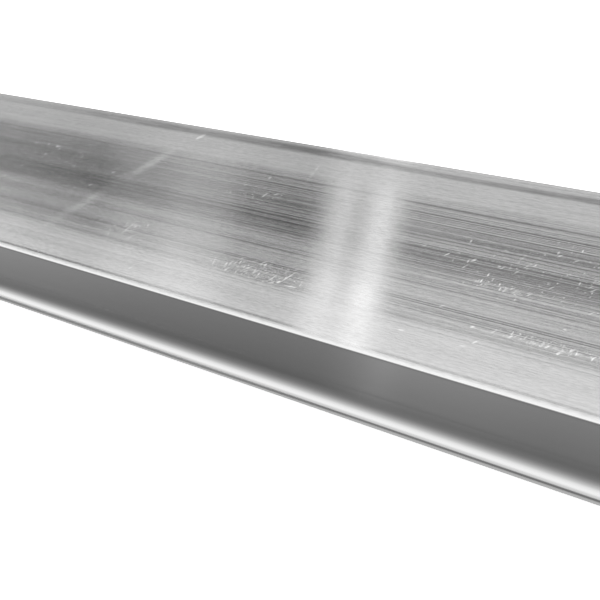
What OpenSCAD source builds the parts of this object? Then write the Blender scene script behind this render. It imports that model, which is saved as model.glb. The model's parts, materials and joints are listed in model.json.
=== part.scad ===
// Aluminium extrusion profile: open channel with a wide flat face, two upright
// sides and a narrow lip turned outward along the foot of each side.
// It lies on its lips with the open side down. Length along X, up is Z.

/* [Stock] */
// Length of the bar along X
length = 1000; // [200:10:3000]
// Overall height from the lip underside to the face
height = 18; // [12:0.5:40]
// Width over the two sides, without the lips
face_width = 60; // [40:1:150]
// Wall thickness of the face and the sides
wall = 2; // [1.6:0.1:2.6]

/* [Face edge] */
// Radius of the soft shoulder where the face starts to fall to its edge
shoulder_radius = 4; // [2:0.5:5]
// Radius of the edge itself, between shoulder and side
edge_radius = 0.4; // [0.2:0.1:1]

/* [Lip] */
// How far each lip stands out from its side
lip_out = 3.5; // [3.2:0.1:4.5]
// Height of the outermost point of the lip
lip_height = 2.5; // [2.4:0.1:3.2]
// Radius of the convex crown on top of the lip
lip_crown_radius = 2.5; // [2:0.1:3]
// Radius of the upper edge of the lip
lip_edge_radius = 0.45; // [0.3:0.05:0.8]
// Radius of the lower edge of the lip
lip_foot_radius = 2.4; // [1:0.1:2.4]

/* [Inside] */
// Radius in the inner corners under the face
inner_fillet = 1; // [0.5:0.1:2]
// Radius on the inner foot of each side
inner_foot_radius = 0.8; // [0.3:0.1:1.2]

/* [Hidden] */
$fn = 96;
lap = 0.4;
half = face_width/2;
face_under = height - wall;
// Unit vectors of the surface directions at which one arc hands over to the
// next: 73.7 and 53.1 degrees above the horizontal.
gentle = [0.28, 0.96];
slanted = [0.6, 0.8];
outward = [1, 0];
upward = [0, 1];
edge_centre = [half - edge_radius,
    height - shoulder_radius + gentle.y*(shoulder_radius - edge_radius)];
shoulder_centre = edge_centre - gentle*(shoulder_radius - edge_radius);
lip_edge_centre = [half + lip_out - lip_edge_radius, lip_height];
crown_centre = lip_edge_centre - slanted*(lip_crown_radius - lip_edge_radius);
crown_start = crown_centre + gentle*lip_crown_radius;
hollow_radius = (crown_start.x - half)/(1 - gentle.x);
hollow_centre = crown_start + gentle*hollow_radius;
color_metal = [0.80, 0.81, 0.82];

// Slice of a disc from the direction a round to the direction b.
module sector(centre, r, a, b) {
    reach = 1.5*r;
    intersection() {
        translate(centre) circle(r = r);
        polygon([centre, centre + reach*a, centre + reach*b]);
    }
}

// Concave corner of radius r filling the quadrant x > 0, y > 0.
module fillet_fill(r) {
    difference() {
        translate([-lap, -lap]) square([r + lap, r + lap]);
        translate([r, r]) circle(r = r);
    }
}

// Cutter that rounds a corner whose metal lies in x < 0, y < 0.
module corner_cut(r) {
    difference() {
        translate([-r, -r]) square([r + lap, r + lap]);
        translate([-r, -r]) circle(r = r);
    }
}

// Half of the face with its soft shoulder, its rounded edge and its side.
module face_section() {
    translate([0, face_under]) square([shoulder_centre.x, wall]);
    translate([half - wall, 0]) square([wall, edge_centre.y]);
    intersection() {
        sector(shoulder_centre, shoulder_radius, gentle, upward);
        translate([0, face_under]) square([half, wall]);
    }
    sector(edge_centre, edge_radius, outward, upward);
    translate([half - wall, face_under]) rotate(180) fillet_fill(inner_fillet);
}

// Lip with a rounded crown and a rounded upper edge, before its hollow is cut.
module lip_section() {
    translate([half - wall, 0]) square([wall + lip_out, lip_height]);
    polygon([
        crown_centre,
        hollow_centre,
        [half - lap, hollow_centre.y],
        [half - lap, crown_centre.y],
    ]);
    sector(crown_centre, lip_crown_radius, slanted, upward);
    sector(lip_edge_centre, lip_edge_radius, outward, upward);
}

// Right half of the section.
module half_section() {
    difference() {
        union() {
            face_section();
            lip_section();
        }
        translate(hollow_centre) circle(r = hollow_radius);
        translate([half + lip_out, 0]) mirror([0, 1]) corner_cut(lip_foot_radius);
        translate([half - wall, 0]) rotate(180) corner_cut(inner_foot_radius);
    }
}

module section() {
    half_section();
    mirror([1, 0]) half_section();
}

module profile() {
    color(color_metal)
        translate([-length/2, 0, 0])
            rotate([90, 0, 90])
                linear_extrude(height = length) section();
}

profile();
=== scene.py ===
"""Looks of a mill-finish aluminium channel profile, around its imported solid."""

import json
import math

import bpy
from mathutils import Matrix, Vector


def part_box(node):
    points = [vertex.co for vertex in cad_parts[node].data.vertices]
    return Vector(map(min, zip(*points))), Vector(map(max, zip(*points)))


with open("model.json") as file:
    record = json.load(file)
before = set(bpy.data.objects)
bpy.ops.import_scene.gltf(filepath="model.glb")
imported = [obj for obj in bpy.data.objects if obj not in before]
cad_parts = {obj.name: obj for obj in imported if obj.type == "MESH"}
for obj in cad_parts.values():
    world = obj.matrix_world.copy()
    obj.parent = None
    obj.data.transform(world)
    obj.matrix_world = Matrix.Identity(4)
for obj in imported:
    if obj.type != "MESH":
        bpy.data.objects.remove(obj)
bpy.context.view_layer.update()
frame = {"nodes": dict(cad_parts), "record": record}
bpy.ops.object.select_all(action="DESELECT")

MM = 1000.0  # millimetres in a metre
DEGREES = 180 / math.pi  # degrees in a radian
profile = frame["nodes"]["profile"]
low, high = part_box("profile")
half_length = high.x * MM
top = high.z * MM
mounts = {mount["name"]: mount for mount in frame["record"]["mounts"]}
side_half = mounts["side_back"]["pos_m"][1] * MM  # half of the width over the sides, without the lips


def linear(hex_colour):
    """sRGB hex to linear RGBA."""
    parts = [int(hex_colour[i : i + 2], 16) / 255 for i in (1, 3, 5)]
    return [c / 12.92 if c <= 0.04045 else ((c + 0.055) / 1.055) ** 2.4 for c in parts] + [1.0]


def add(tree, kind, inputs=None, **settings):
    """Adds a node with its settings; an input is a value or another node's output."""
    node = tree.nodes.new(kind)
    for name, value in settings.items():
        setattr(node, name, value)
    for key, value in (inputs or {}).items():
        if isinstance(value, bpy.types.Node):
            value = next(out for out in value.outputs if out.enabled)
        if isinstance(value, bpy.types.NodeSocket):
            tree.links.new(value, node.inputs[key])
        else:
            node.inputs[key].default_value = value
    return node


def graded(tree, source, start, end, stops):
    """Grey value that follows source between start and end, through stops of (source, value)."""
    scaled = add(tree, "ShaderNodeMapRange", {0: source, 1: start, 2: end, 3: 0.0, 4: 1.0})
    node = add(tree, "ShaderNodeValToRGB", {0: scaled})
    band = node.color_ramp
    while len(band.elements) < len(stops):
        band.elements.new(0.5)
    for element, (place, value) in zip(band.elements, stops):
        element.position = (place - start) / (end - start)
        element.color = (value, value, value, 1)
    return node


def soft_line(tree, source, place, core, rim, peak):
    """Peak where source lies within core of a place, fading to nothing at its rim."""
    gap = add(tree, "ShaderNodeMath", {0: source, 1: place}, operation="SUBTRACT")
    gap = add(tree, "ShaderNodeMath", {0: gap}, operation="ABSOLUTE")
    fade = {0: gap, 1: core, 2: rim, 3: peak, 4: 0.0}
    return add(tree, "ShaderNodeMapRange", fade, interpolation_type="SMOOTHSTEP")


def soft_patch(tree, plan, patch, core, rim, peak):
    """A patch on the face, from its middle, half sizes and turn; 1 is its rim in core and rim."""
    x, y, half_run, half_width, turned = patch
    placed = {
        "Vector": plan,
        "Location": (x, y, 0.0),
        "Rotation": (0.0, 0.0, math.radians(turned)),
        "Scale": (half_run, half_width, 1.0),
    }
    placed = add(tree, "ShaderNodeMapping", placed, vector_type="TEXTURE")
    reach = add(tree, "ShaderNodeVectorMath", {0: placed}, operation="LENGTH").outputs["Value"]
    fade = {0: reach, 1: core, 2: rim, 3: peak, 4: 0.0}
    return add(tree, "ShaderNodeMapRange", fade, interpolation_type="SMOOTHSTEP")


# ---------------------------------------------------------------- studio
# Brightness of the studio round the bar, by the angle in the plane of its
# section: 0 is level in front, 90 straight up, 180 level behind.
ROOM = [
    (-180, 0.03), (-165, 0.03), (-140, 0.2), (-110, 0.47), (-62, 0.465), (-56, 0.25), (-50, 0.19),
    (-10, 0.165), (10, 0.18), (30, 0.22), (50, 0.4), (70, 0.74), (86, 1.06), (104, 1.01), (120, 0.63),
    (131, 0.6), (133, 0.535), (140, 0.395), (150, 0.43), (155, 0.52), (163, 0.46), (168, 0.06), (172, 0.02),
    (180, 0.03),
]
# Lamps that shine across the bar. Each has its brightness by the angle to the
# bar's length, and how much of it is seen at each angle round the bar.
TWIN_LAMP = [
    (36.85, 0.0), (37.15, 0.16), (37.5, 0.66), (37.85, 1.0), (38.3, 0.46), (38.8, 1.08), (39.1, 1.12),
    (39.4, 0.4), (39.8, 0.0),
]
TWIN_ROUND = [
    (-180, 0.86), (-177, 0.24), (-173, 0.0), (-145, 0.0), (95, 0.0), (110, 0.03), (122, 0.08), (131, 0.49),
    (134, 0.36), (138, 0.06), (140, 0.03), (160, 0.14), (170, 1.06), (180, 1.0),
]
SOFT_LAMP = [
    (31.0, 0.0), (31.6, 0.4), (32.6, 0.58), (33.3, 1.0), (34.4, 0.88), (35.1, 0.25), (36.5, 0.06),
    (38.0, 0.0),
]
SOFT_ROUND = [
    (-180, 0.2), (-176, 0.1), (-162, 0.0), (-145, 0.0), (110, 0.0), (120, 0.03), (131, 0.27), (140, 0.0),
    (165, 0.03), (171, 0.4), (174.5, 0.6), (178, 0.32), (180, 0.2),
]
SIDE_PANEL = [(28.2, 0.4), (30.2, 0.0), (36.8, 0.02), (38.4, 0.1), (39.5, 1.0), (45.5, 0.96)]
SIDE_ROUND = [
    (-180, 0.28), (-162, 0.29), (-145, 0.0), (100, 0.0), (112, 0.08), (131, 0.2), (140, 0.03), (150, 0.1),
    (163, 0.15), (173, 0.22), (180, 0.26),
]
# Light from low in front, by the angle to the bar's length.
FRONT = [
    (28.5, 1.2), (33.0, 0.87), (36.5, 0.755), (38.3, 0.79), (39.2, 0.97), (40.0, 1.3), (40.7, 1.07),
    (43.0, 1.02), (45.0, 0.92),
]
SLANTS = (28, 46)  # degrees to the bar's length that the lamps lie between
ROUND = (-180, 180)  # degrees round the bar
# The light in front comes in from a little above level, and ends at the floor's
# edge. 1 and 2 are degrees round the bar, 3 and 4 its share there.
IN_FRONT = {1: 20.0, 2: -10.0, 3: 0.0, 4: 1.0}
ABOVE_FLOOR = {1: -62.0, 2: -56.0, 3: 0.0, 4: 1.0}
MATT_WASH = 1.2  # strength of the even light on matt surfaces
FLOOR_SIZE = 6  # metres
FLOOR_GLOW = 0.7  # strength of the floor's own light


def studio():
    """Soft light all round, brighter overhead, with narrow lamps across the bar."""
    world = bpy.data.worlds.new("studio")
    bpy.context.scene.world = world
    world.use_nodes = True
    world.cycles.sampling_method = "NONE"
    sky = world.node_tree
    sky.nodes.clear()
    way = add(sky, "ShaderNodeSeparateXYZ", {0: add(sky, "ShaderNodeTexCoord").outputs["Generated"]})
    forward = add(sky, "ShaderNodeMath", {0: way.outputs["Y"], 1: -1.0}, operation="MULTIPLY")
    turn = add(sky, "ShaderNodeMath", {0: way.outputs["Z"], 1: forward}, operation="ARCTAN2")
    turn = add(sky, "ShaderNodeMath", {0: turn, 1: DEGREES}, operation="MULTIPLY")
    slant = add(sky, "ShaderNodeMath", {0: way.outputs["X"]}, operation="ABSOLUTE")
    slant = add(sky, "ShaderNodeMath", {0: slant}, operation="ARCCOSINE")
    slant = add(sky, "ShaderNodeMath", {0: slant, 1: DEGREES}, operation="MULTIPLY")

    in_front = add(sky, "ShaderNodeMapRange", {0: turn} | IN_FRONT)
    above_floor = add(sky, "ShaderNodeMapRange", {0: turn} | ABOVE_FLOOR)
    share = add(sky, "ShaderNodeMath", {0: in_front, 1: above_floor}, operation="MULTIPLY")
    front = add(sky, "ShaderNodeMix", {0: share, 2: 1.0, 3: graded(sky, slant, *SLANTS, FRONT)})
    light = {0: graded(sky, turn, *ROUND, ROOM), 1: front}
    light = add(sky, "ShaderNodeMath", light, operation="MULTIPLY")
    for lamp, seen in ((TWIN_LAMP, TWIN_ROUND), (SOFT_LAMP, SOFT_ROUND), (SIDE_PANEL, SIDE_ROUND)):
        lit = {0: graded(sky, slant, *SLANTS, lamp), 1: graded(sky, turn, *ROUND, seen)}
        lit = add(sky, "ShaderNodeMath", lit, operation="MULTIPLY")
        light = add(sky, "ShaderNodeMath", {0: light, 1: lit}, operation="ADD")

    # The metal mirrors this room; matt surfaces get an even wash, and the backdrop is white.
    seen_in_metal = add(sky, "ShaderNodeBackground", {0: light, 1: 1.0})
    on_matt = add(sky, "ShaderNodeBackground", {0: linear("#ffffff"), 1: MATT_WASH})
    backdrop = add(sky, "ShaderNodeBackground", {0: linear("#ffffff"), 1: 1.0})
    path = add(sky, "ShaderNodeLightPath")
    mix = {0: path.outputs["Is Diffuse Ray"], 1: seen_in_metal, 2: on_matt}
    mix = {0: path.outputs["Is Camera Ray"], 1: add(sky, "ShaderNodeMixShader", mix), 2: backdrop}
    add(sky, "ShaderNodeOutputWorld", {0: add(sky, "ShaderNodeMixShader", mix)})


def sweep():
    """White studio floor that glows a little, so only a faint contact shadow shows."""
    bpy.ops.mesh.primitive_plane_add(size=FLOOR_SIZE, location=(0, 0, low.z))
    floor = bpy.context.object
    floor.name = "floor"
    floor.visible_glossy = False
    paint = bpy.data.materials.new("white_sweep")
    paint.use_nodes = True
    tree = paint.node_tree
    tree.nodes.clear()
    matt = add(tree, "ShaderNodeBsdfDiffuse", {"Color": linear("#e7e7e7")})
    glow = add(tree, "ShaderNodeEmission", {"Color": linear("#ffffff"), "Strength": FLOOR_GLOW})
    both = add(tree, "ShaderNodeAddShader", {0: matt, 1: glow})
    add(tree, "ShaderNodeOutputMaterial", {0: both})
    floor.data.materials.append(paint)


# ---------------------------------------------------------------- metal
ALUMINIUM = linear("#f9f9f9")  # clean mill finish, neutral
# Share of the face that is scored, by the place across the bar in mm: smooth
# along both edges, most heavily scored just behind the middle.
SCORED = [
    (-28.0, 0.0), (-25.4, 0.05), (-24.2, 0.12), (-23.0, 0.08), (-20.6, 0.07), (-19.6, 0.18), (-19.0, 0.12),
    (-18.3, 0.27), (-17.4, 0.46), (-16.0, 0.39), (-14.6, 0.47), (-13.0, 0.57), (-11.6, 0.49), (-10.4, 0.4),
    (-8.6, 0.46), (-7.2, 0.54), (-6.2, 0.46), (-4.4, 0.44), (-3.2, 0.56), (-2.4, 0.66), (0.7, 0.73),
    (3.4, 0.69), (5.4, 0.62), (9.4, 0.68), (10.9, 0.58), (14.2, 0.54), (15.4, 0.51), (17.4, 0.42),
    (18.6, 0.2), (19.8, 0.1), (24.5, 0.07),
]
# Lines that the die left along the whole bar: place across it in mm, half
# width in mm, and how much more (or, below zero, less) of it is scored.
DIE_LINES = [
    (17.3, 0.15, -0.25), (16.3, 0.45, 0.18), (15.1, 0.3, -0.2), (11.0, 0.3, -0.18), (9.9, 0.2, 0.2),
    (8.1, 0.35, 0.25), (6.3, 0.15, 0.35), (4.3, 0.3, -0.12), (2.8, 0.25, 0.25), (2.0, 0.2, -0.15),
    (0.8, 0.2, 0.2), (-0.6, 0.15, 0.2), (-5.0, 0.4, -0.25), (-7.6, 0.2, 0.35), (-9.0, 0.12, 0.15),
    (-10.6, 0.3, -0.15), (-13.1, 0.25, 0.2), (-16.0, 0.25, -0.15), (-17.2, 0.2, 0.3), (-17.9, 0.12, 0.25),
    (-19.6, 0.2, 0.15),
]
# Fine lines between them: their width and how long they run in mm, how strong they are, and a seed.
FINE_LINES = [(0.3, 2500, 1.7, 3), (0.55, 2000, 0.9, 7), (1.4, 900, 0.3, 11), (0.35, 50, 0.5, 17)]
# How dark the streak beside the back edge is, by the place along the bar in mm.
FAR_STREAK = [
    (-215, 0.1), (-204, 0.14), (-174, 0.19), (-146, 0.4), (-121, 0.48), (-97, 0.37), (-75, 0.53), (-54, 0.58),
    (-35, 0.4), (-17, 0.31), (0, 0.38), (16, 0.45), (31, 0.52),
]
# Painted light and shade on the sides, by height in mm: a painted highlight on the lip and just under the
# face, painted shade on the wall between.
PAINTED_SIDE_SHADE_AND_HIGHLIGHT = [
    (2.6, 1.0), (3.2, 0.94), (3.6, 0.8), (5.0, 0.865), (6.5, 0.87), (10.0, 0.86), (13.5, 0.955), (17.0, 1.06),
]

# How strong the long rub mark is, by the place across the bar in mm.
RUB = [
    (-21.5, 0.0), (-17.5, 0.5), (-5.0, 0.5), (-1.0, 0.14), (5.0, 0.12), (7.5, 0.6), (18.0, 0.85),
    (22.0, 0.0),
]

# Strokes and knocks from handling: place along and across the bar in mm, half
# length and half width in mm, turn in degrees, and how bright it catches light.
STROKES = [
    (-106.4, 25.6, 1.8, 0.9, 68, 0.6), (-56.1, 8.7, 1.3, 0.35, 84, 0.7),
    (-61.9, 14.9, 0.6, 0.6, 0, 0.6), (-50.0, 19.5, 5.5, 0.35, 112, 0.25),
    (-86.9, -12.5, 3.4, 0.4, 98, 0.45), (-82.0, -15.5, 2.0, 0.35, 60, 0.4),
    (-67.9, -25.1, 0.9, 0.35, 70, 0.6), (-44.4, -16.3, 2.5, 0.22, 126, 0.55),
    (-31.8, -15.6, 2.2, 0.24, 52, 0.7), (-38.7, -15.4, 1.3, 0.22, 100, 0.6),
    (-28.6, -16.0, 1.3, 0.22, 118, 0.6), (-24.5, -15.4, 1.3, 0.22, 64, 0.6),
    (-21.0, -16.4, 1.8, 0.22, 84, 0.7), (-16.9, -15.0, 2.4, 0.25, 76, 0.8),
    (-17.9, -17.3, 0.8, 0.4, 20, 0.9), (-13.0, -17.7, 3.0, 0.2, 3, 0.9),
    (-26.0, -17.3, 3.0, 0.14, -2, 0.5), (28.5, -21.3, 1.2, 0.22, 4, 0.8),
    (31.2, -12.3, 0.9, 0.22, 40, 0.6), (43.8, -15.7, 0.7, 0.4, 20, 0.8),
    (46.6, -21.1, 1.0, 0.3, 10, 0.5), (48.4, -19.3, 0.9, 0.35, 60, 0.7),
    (8.6, 3.6, 0.8, 0.3, 70, 0.45), (41.2, -4.0, 0.9, 0.4, 80, 0.5),
    (64.3, -10.5, 0.6, 0.25, 0, 0.6), (33.4, 2.0, 0.5, 0.25, 0, 0.5),
]
# Hazes of small knocks: middle along and across the bar, half length and half
# width in mm, and how thick they lie.
HAZES = [
    (66.0, -15.3, 18.0, 1.8, 0.85), (-28.0, -15.6, 23.0, 4.2, 0.32), (42.0, -3.6, 14.0, 1.6, 0.3),
    (50.0, 4.0, 45.0, 12.0, 0.1), (-60.0, 9.0, 12.0, 5.0, 0.18), (-84.0, -13.0, 12.0, 5.0, 0.16),
    (-150.0, 6.0, 40.0, 12.0, 0.04),
]
# Skin of the metal: how long and wide its grain, hair lines and clouds run in
# mm, how strong they are, and a seed.
GRAIN = [(2.6, 0.28, 0.2, 2.0), (260.0, 0.35, 0.1, 5.0), (500.0, 0.9, 0.1, 6.0), (18.0, 4.0, 0.08, 9.0)]
# Knocks lie about 1 mm apart: round ones, and short ones scratched two ways
# across the bar. Turn in degrees, length and width of their cells in mm.
KNOCKS = [(0, 0.55, 0.55), (58, 2.2, 0.55), (112, 1.9, 0.55)]
FACE = (-side_half, side_half)  # mm across the face, edge to edge
FAR_STRETCH = (-220, 40)  # mm along the bar that the back streak is told for
FAR_BLOTCH = (60.0, 700.0, 700.0)  # blotches of the back streak in each metre, along and across
STROKE_EDGE = (0.4, 1.0)  # core and rim of a stroke, in its own half sizes
HAZE_EDGE = (0.2, 1.1)  # core and rim of a haze, in its own half sizes
RUB_MIDDLE = -113.6  # mm along the bar, halfway across the face
RUB_SLANT = 0.24  # mm along the bar for each mm across it
RUB_BOW = -0.0022  # how the slant changes for each mm across
RUB_WIDTH = (0.0, 4.2, 0.9)  # half widths of its core and its rim in mm, and its peak
RUB_BLOTCH = 0.11  # blotches of wear in each mm
# Lines: place in mm, half widths of the core and of the rim in mm, and peak.
NEAR_STREAK = (-28.32, 0.05, 0.7, 1.0)  # dark streak beside the front edge
DEEP_LINE = (16.3, 0.0, 0.35, 0.13)  # a die line that is dark in every light
LIP_EDGE = (2.55, 0.15, 0.5, 1.0)  # by height, the edge of the lip that is rubbed dull
# Fades: 1 and 2 are where each starts and ends, 3 and 4 its value there. The
# first ones go by mm along the bar.
CRISP = {1: -130.0, 2: 25.0, 3: 0.13, 4: 1.05}  # how much the lines stand out
NEAR_FADE = {1: -60.0, 2: 50.0, 3: 0.58, 4: 0.36}  # share of the front streak that is scored
FAR_DRIFT = {1: -60.0, 2: -15.0, 3: 27.35, 4: 26.55}  # mm across, where the back streak lies
FAR_NARROWS = {1: -60.0, 2: -15.0, 3: 0.7, 4: 1.0}  # how much it narrows
LIP_DULL = {1: -80.0, 2: 25.0, 3: 0.6, 4: 0.0}  # roughness added at the lip's edge
FAR_WIDTH = {1: 0.3, 2: 1.4, 3: 1.0, 4: 0.0}  # by mm from the middle of the back streak
FACET_LEAN = {1: -16.0, 2: 12.0, 3: -0.37, 4: -0.475}  # by mm across, how far facets lean back
KNOCK_WIDTH = {1: 0.15, 2: 0.42, 3: 1.0, 4: 0.0}  # by cells of the knocks
KNOCK_SHINE = {3: 0.35, 4: 1.0}  # from the dullest knock to the brightest
FAR_UNEVEN = {1: 0.36, 2: 0.58, 3: 0.8, 4: 1.12}  # by a noise, strength of the back streak
RUB_WEAR = {1: 0.4, 2: 0.6, 3: 0.55, 4: 1.0}  # by a noise, strength of the rub mark
SAWN_GROOVE_SHADE = {1: -1.0, 2: 1.0, 3: 0.76, 4: 0.93}  # from the floor of a saw mark to its crest: painted shade darkens each floor
RIDGE = 0.012  # mm from one scored ridge to the next
KNOCK_LEAN = math.tan(math.radians(15))  # how far the rim of a knock leans forward
SKIN_ROUGH = 0.12
SAWN_ROUGH = 0.38
TOOTH_MARK = 0.35  # mm between the arcs that the saw's teeth leave
TOOTH_DEPTH = 1.5e-5  # metres
BLADE_CENTRE = (0.0, 0.07, 0.14)  # metres
FACE_SKIN = 0.1  # mm under the top that still count as the face
TOLERANCE = 0.02  # mm within which a place counts as on a side or an end


def scoring(tree, spot, x_mm, y_mm):
    """Share of each place that is scored."""
    # The lines stand out most where the bar was drawn over a dry bed.
    crisp = add(tree, "ShaderNodeMapRange", {0: x_mm} | CRISP)
    share = graded(tree, y_mm, *FACE, SCORED)
    for width, run, depth, seed in FINE_LINES:
        laid = {"Vector": spot, "Location": (seed, seed, seed), "Scale": (MM / run, MM / width, MM / width)}
        laid = add(tree, "ShaderNodeMapping", laid)
        noise = add(tree, "ShaderNodeTexNoise", {"Vector": laid, "Scale": 1.0, "Detail": 1.0})
        swing = add(tree, "ShaderNodeMath", {0: noise, 1: 2 * depth, 2: -depth}, operation="MULTIPLY_ADD")
        swing = add(tree, "ShaderNodeMath", {0: swing, 1: crisp, 2: 1.0}, operation="MULTIPLY_ADD")
        share = add(tree, "ShaderNodeMath", {0: share, 1: swing}, operation="MULTIPLY")
    for place, half_width, depth in DIE_LINES:
        line = soft_line(tree, y_mm, place, 0.0, half_width, depth)
        share = add(tree, "ShaderNodeMath", {0: line, 1: crisp, 2: share}, operation="MULTIPLY_ADD")
    streak = soft_line(tree, y_mm, *NEAR_STREAK)
    fade = add(tree, "ShaderNodeMapRange", {0: x_mm} | NEAR_FADE)
    return add(tree, "ShaderNodeMath", {0: streak, 1: fade, 2: share}, operation="MULTIPLY_ADD")


def clear_of_streaks(tree, spot, x_mm, y_mm):
    """Tone that the dark streak at the back and the deep die line leave, 1 where they are not."""
    # The streak wanders inwards along the bar and narrows as it does.
    drift = add(tree, "ShaderNodeMapRange", {0: x_mm} | FAR_DRIFT)
    narrow = add(tree, "ShaderNodeMapRange", {0: x_mm} | FAR_NARROWS)
    gap = add(tree, "ShaderNodeMath", {0: y_mm, 1: drift}, operation="SUBTRACT")
    gap = add(tree, "ShaderNodeMath", {0: gap}, operation="ABSOLUTE")
    gap = add(tree, "ShaderNodeMath", {0: gap, 1: narrow}, operation="MULTIPLY")
    dark = add(tree, "ShaderNodeMapRange", {0: gap} | FAR_WIDTH, interpolation_type="SMOOTHSTEP")
    strength = graded(tree, x_mm, *FAR_STRETCH, FAR_STREAK)
    dark = add(tree, "ShaderNodeMath", {0: dark, 1: strength}, operation="MULTIPLY")
    uneven = add(tree, "ShaderNodeMapping", {"Vector": spot, "Scale": FAR_BLOTCH})
    uneven = add(tree, "ShaderNodeTexNoise", {"Vector": uneven, "Scale": 1.0, "Detail": 2.0})
    uneven = add(tree, "ShaderNodeMapRange", {0: uneven} | FAR_UNEVEN)
    deep = soft_line(tree, y_mm, *DEEP_LINE)
    dark = add(tree, "ShaderNodeMath", {0: dark, 1: uneven, 2: deep}, operation="MULTIPLY_ADD")
    return add(tree, "ShaderNodeMath", {0: 1.0, 1: dark}, operation="SUBTRACT")


def unrubbed(tree, plan, x_mm, y_mm, on_face):
    """Share of the scoring that a long rub mark across the face has left standing."""
    slant = add(tree, "ShaderNodeMath", {0: y_mm, 1: RUB_BOW, 2: RUB_SLANT}, operation="MULTIPLY_ADD")
    middle = add(tree, "ShaderNodeMath", {0: y_mm, 1: slant, 2: RUB_MIDDLE}, operation="MULTIPLY_ADD")
    rub = soft_line(tree, x_mm, middle, *RUB_WIDTH)
    strength = graded(tree, y_mm, *FACE, RUB)
    rub = add(tree, "ShaderNodeMath", {0: rub, 1: strength}, operation="MULTIPLY")
    wear = add(tree, "ShaderNodeTexNoise", {"Vector": plan, "Scale": RUB_BLOTCH, "Detail": 3.0})
    wear = add(tree, "ShaderNodeMapRange", {0: wear} | RUB_WEAR)
    rub = add(tree, "ShaderNodeMath", {0: rub, 1: wear}, operation="MULTIPLY")
    rub = add(tree, "ShaderNodeMath", {0: rub, 1: on_face}, operation="MULTIPLY")
    return add(tree, "ShaderNodeMath", {0: 1.0, 1: rub}, operation="SUBTRACT")


def glints(tree, plan, on_face):
    """Bright rims of the strokes and knocks."""
    glint = 0.0
    for *patch, shine in STROKES:
        stroke = soft_patch(tree, plan, patch, *STROKE_EDGE, shine)
        glint = add(tree, "ShaderNodeMath", {0: stroke, 1: glint}, operation="MAXIMUM")
    thick = 0.0
    for *patch, share in HAZES:
        haze = soft_patch(tree, plan, (*patch, 0), *HAZE_EDGE, share)
        thick = add(tree, "ShaderNodeMath", {0: haze, 1: thick}, operation="MAXIMUM")
    for turned, run, width in KNOCKS:
        laid = {"Vector": plan, "Rotation": (0.0, 0.0, math.radians(turned)), "Scale": (run, width, 1.0)}
        laid = add(tree, "ShaderNodeMapping", laid, vector_type="TEXTURE")
        knocks = add(tree, "ShaderNodeTexVoronoi", {"Vector": laid, "Scale": 1.0, "Randomness": 1.0})
        fade = {0: knocks.outputs["Distance"]} | KNOCK_WIDTH
        dot = add(tree, "ShaderNodeMapRange", fade, interpolation_type="SMOOTHSTEP")
        lot = add(tree, "ShaderNodeSeparateColor", {0: knocks.outputs["Color"]})
        there = add(tree, "ShaderNodeMath", {0: lot.outputs["Red"], 1: thick}, operation="LESS_THAN")
        shine = add(tree, "ShaderNodeMapRange", {0: lot.outputs["Green"]} | KNOCK_SHINE)
        speck = add(tree, "ShaderNodeMath", {0: dot, 1: there}, operation="MULTIPLY")
        speck = add(tree, "ShaderNodeMath", {0: speck, 1: shine}, operation="MULTIPLY")
        glint = add(tree, "ShaderNodeMath", {0: speck, 1: glint}, operation="MAXIMUM")
    return add(tree, "ShaderNodeMath", {0: glint, 1: on_face}, operation="MULTIPLY")


def ridged(tree, y_mm, scored, glint, across):
    """Direction that the scored ridges and the rims of the knocks face."""
    # Facets of the ridges lean back 25 degrees at the back of the bar and 20 at
    # its front. The ridges are too fine to be seen one by one.
    ridge = add(tree, "ShaderNodeMath", {0: y_mm, 1: 1 / RIDGE}, operation="MULTIPLY")
    ridge = add(tree, "ShaderNodeMath", {0: ridge}, operation="FRACT")
    facet = add(tree, "ShaderNodeMath", {0: ridge, 1: scored}, operation="LESS_THAN")
    steep = add(tree, "ShaderNodeMapRange", {0: y_mm} | FACET_LEAN)
    lean = add(tree, "ShaderNodeMath", {0: facet, 1: steep}, operation="MULTIPLY")
    lean = add(tree, "ShaderNodeMath", {0: glint, 1: KNOCK_LEAN, 2: lean}, operation="MULTIPLY_ADD")
    upright = add(tree, "ShaderNodeNewGeometry").outputs["Normal"]
    tipped = add(tree, "ShaderNodeVectorMath", {0: across, 1: lean, 2: upright}, operation="MULTIPLY_ADD")
    return add(tree, "ShaderNodeVectorMath", {0: tipped}, operation="NORMALIZE")


def grained(tree, plan, tone, on_face):
    """Tone with grain, hair lines and soft clouds on the face."""
    for run, width, depth, seed in GRAIN:
        laid = {"Vector": plan, "Location": (seed, seed, 0.0), "Scale": (1 / run, 1 / width, 1.0)}
        laid = add(tree, "ShaderNodeMapping", laid)
        noise = add(tree, "ShaderNodeTexNoise", {"Vector": laid, "Scale": 1.0, "Detail": 1.0})
        even = add(tree, "ShaderNodeMapRange", {0: noise, 1: 0.0, 2: 1.0, 3: 1.0 - depth, 4: 1.0 + depth})
        even = add(tree, "ShaderNodeMix", {0: on_face, 2: 1.0, 3: even})
        tone = add(tree, "ShaderNodeMath", {0: tone, 1: even}, operation="MULTIPLY")
    return tone


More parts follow.
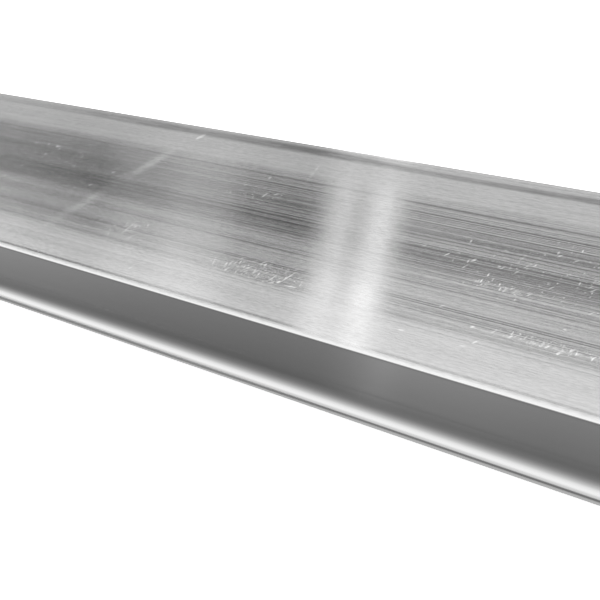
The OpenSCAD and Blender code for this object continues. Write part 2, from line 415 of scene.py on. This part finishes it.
def mill_finish_aluminium():
    """Extruded aluminium as it leaves the press: bright, drawn out into lines along the bar."""
    metal = bpy.data.materials.new("mill_finish_aluminium")
    metal.use_nodes = True
    tree = metal.node_tree
    tree.nodes.clear()
    spot = add(tree, "ShaderNodeTexCoord").outputs["Object"]
    plan = add(tree, "ShaderNodeVectorMath", {0: spot, 1: (MM, MM, MM)}, operation="MULTIPLY")
    x_mm, y_mm, z_mm = add(tree, "ShaderNodeSeparateXYZ", {0: plan}).outputs
    plan = add(tree, "ShaderNodeVectorMath", {0: plan, 1: (1.0, 1.0, 0.0)}, operation="MULTIPLY")
    on_face = add(tree, "ShaderNodeMath", {0: z_mm, 1: top - FACE_SKIN}, operation="GREATER_THAN")
    aside = add(tree, "ShaderNodeMath", {0: y_mm}, operation="ABSOLUTE")
    is_side = add(tree, "ShaderNodeMath", {0: aside, 1: side_half - TOLERANCE}, operation="GREATER_THAN")
    along = add(tree, "ShaderNodeMath", {0: x_mm}, operation="ABSOLUTE")
    is_sawn = add(tree, "ShaderNodeMath", {0: along, 1: half_length - TOLERANCE}, operation="GREATER_THAN")

    # Scoring, wiped flat by the rub mark and by each knock.
    scored = scoring(tree, spot, x_mm, y_mm)
    left = unrubbed(tree, plan, x_mm, y_mm, on_face)
    scored = add(tree, "ShaderNodeMath", {0: scored, 1: left}, operation="MULTIPLY")
    glint = glints(tree, plan, on_face)
    left = add(tree, "ShaderNodeMath", {0: 1.0, 1: glint}, operation="SUBTRACT")
    scored = add(tree, "ShaderNodeMath", {0: scored, 1: left}, operation="MULTIPLY")
    across = add(tree, "ShaderNodeTangent", direction_type="RADIAL", axis="X")
    tipped = ridged(tree, y_mm, scored, glint, across)

    # Sides: painted shade on the wall, and a painted highlight on the lip and just under the face, by height.
    tone = add(tree, "ShaderNodeMix", {0: is_side, 2: 1.0, 3: graded(tree, z_mm, 0, top, PAINTED_SIDE_SHADE_AND_HIGHLIGHT)})
    clear = clear_of_streaks(tree, spot, x_mm, y_mm)
    tone = add(tree, "ShaderNodeMath", {0: tone, 1: clear}, operation="MULTIPLY")
    tone = grained(tree, plan, tone, on_face)

    # Saw-cut ends: the teeth leave shallow arcs, far from the blade's centre.
    from_blade = add(tree, "ShaderNodeVectorMath", {0: spot, 1: BLADE_CENTRE}, operation="DISTANCE")
    arcs = {0: from_blade.outputs["Value"], 1: MM * 2 * math.pi / TOOTH_MARK}
    arcs = add(tree, "ShaderNodeMath", arcs, operation="MULTIPLY")
    arcs = add(tree, "ShaderNodeMath", {0: arcs}, operation="SINE")
    # Painted shade: the floor of each saw mark is darker than its crest.
    sawn_groove_shade = add(tree, "ShaderNodeMapRange", {0: arcs} | SAWN_GROOVE_SHADE)
    tone = add(tree, "ShaderNodeMix", {0: is_sawn, 2: tone, 3: sawn_groove_shade})
    height = add(tree, "ShaderNodeMath", {0: arcs, 1: TOOTH_DEPTH}, operation="MULTIPLY")
    height = add(tree, "ShaderNodeMath", {0: height, 1: is_sawn}, operation="MULTIPLY")
    relief = {"Strength": 1.0, "Distance": 1.0, "Height": height, "Normal": tipped}
    relief = add(tree, "ShaderNodeBump", relief)

    # The lip's edge is rubbed dull towards one end of the bar.
    dull = soft_line(tree, z_mm, *LIP_EDGE)
    fade = add(tree, "ShaderNodeMapRange", {0: x_mm} | LIP_DULL)
    dull = add(tree, "ShaderNodeMath", {0: dull, 1: fade}, operation="MULTIPLY")
    rough = add(tree, "ShaderNodeMath", {0: dull, 1: is_side, 2: SKIN_ROUGH}, operation="MULTIPLY_ADD")
    rough = add(tree, "ShaderNodeMix", {0: is_sawn, 2: rough, 3: SAWN_ROUGH})

    skin = {
        "Base Color": add(tree, "ShaderNodeVectorMath", {0: ALUMINIUM[:3], 3: tone}, operation="SCALE"),
        "Metallic": 1.0,
        "Roughness": rough,
        "Anisotropic": 1.0,
        "Tangent": across,
        "Normal": relief,
    }
    add(tree, "ShaderNodeOutputMaterial", {0: add(tree, "ShaderNodeBsdfPrincipled", skin)})
    return metal


# ---------------------------------------------------------------- camera
LENS = 120  # mm
SENSOR = 36  # mm wide
CAMERA_PLACE = (0.3252, -0.19218, 0.20181)  # metres
CAMERA_TURN = 62.61832  # degrees to the left of a look straight across the bar
CAMERA_TILT = 63.75527  # degrees up from a look straight down
CAMERA_ROLL = -25.21778  # degrees round its own line of sight


def camera():
    """Long lens above the front, looking along the bar and down on its face."""
    lens = bpy.data.cameras.new("camera")
    lens.sensor_width = SENSOR
    lens.lens = LENS
    view = bpy.data.objects.new("camera", lens)
    bpy.context.scene.collection.objects.link(view)
    turned = Matrix.Rotation(math.radians(CAMERA_TURN), 4, "Z")
    turned = turned @ Matrix.Rotation(math.radians(CAMERA_TILT), 4, "X")
    turned = turned @ Matrix.Rotation(math.radians(CAMERA_ROLL), 4, "Z")
    view.matrix_world = Matrix.Translation(CAMERA_PLACE) @ turned
    bpy.context.scene.camera = view
    bpy.context.scene.view_settings.view_transform = "Standard"


studio()
sweep()
metal = mill_finish_aluminium()
for place in profile.material_slots:
    place.material = metal
camera()
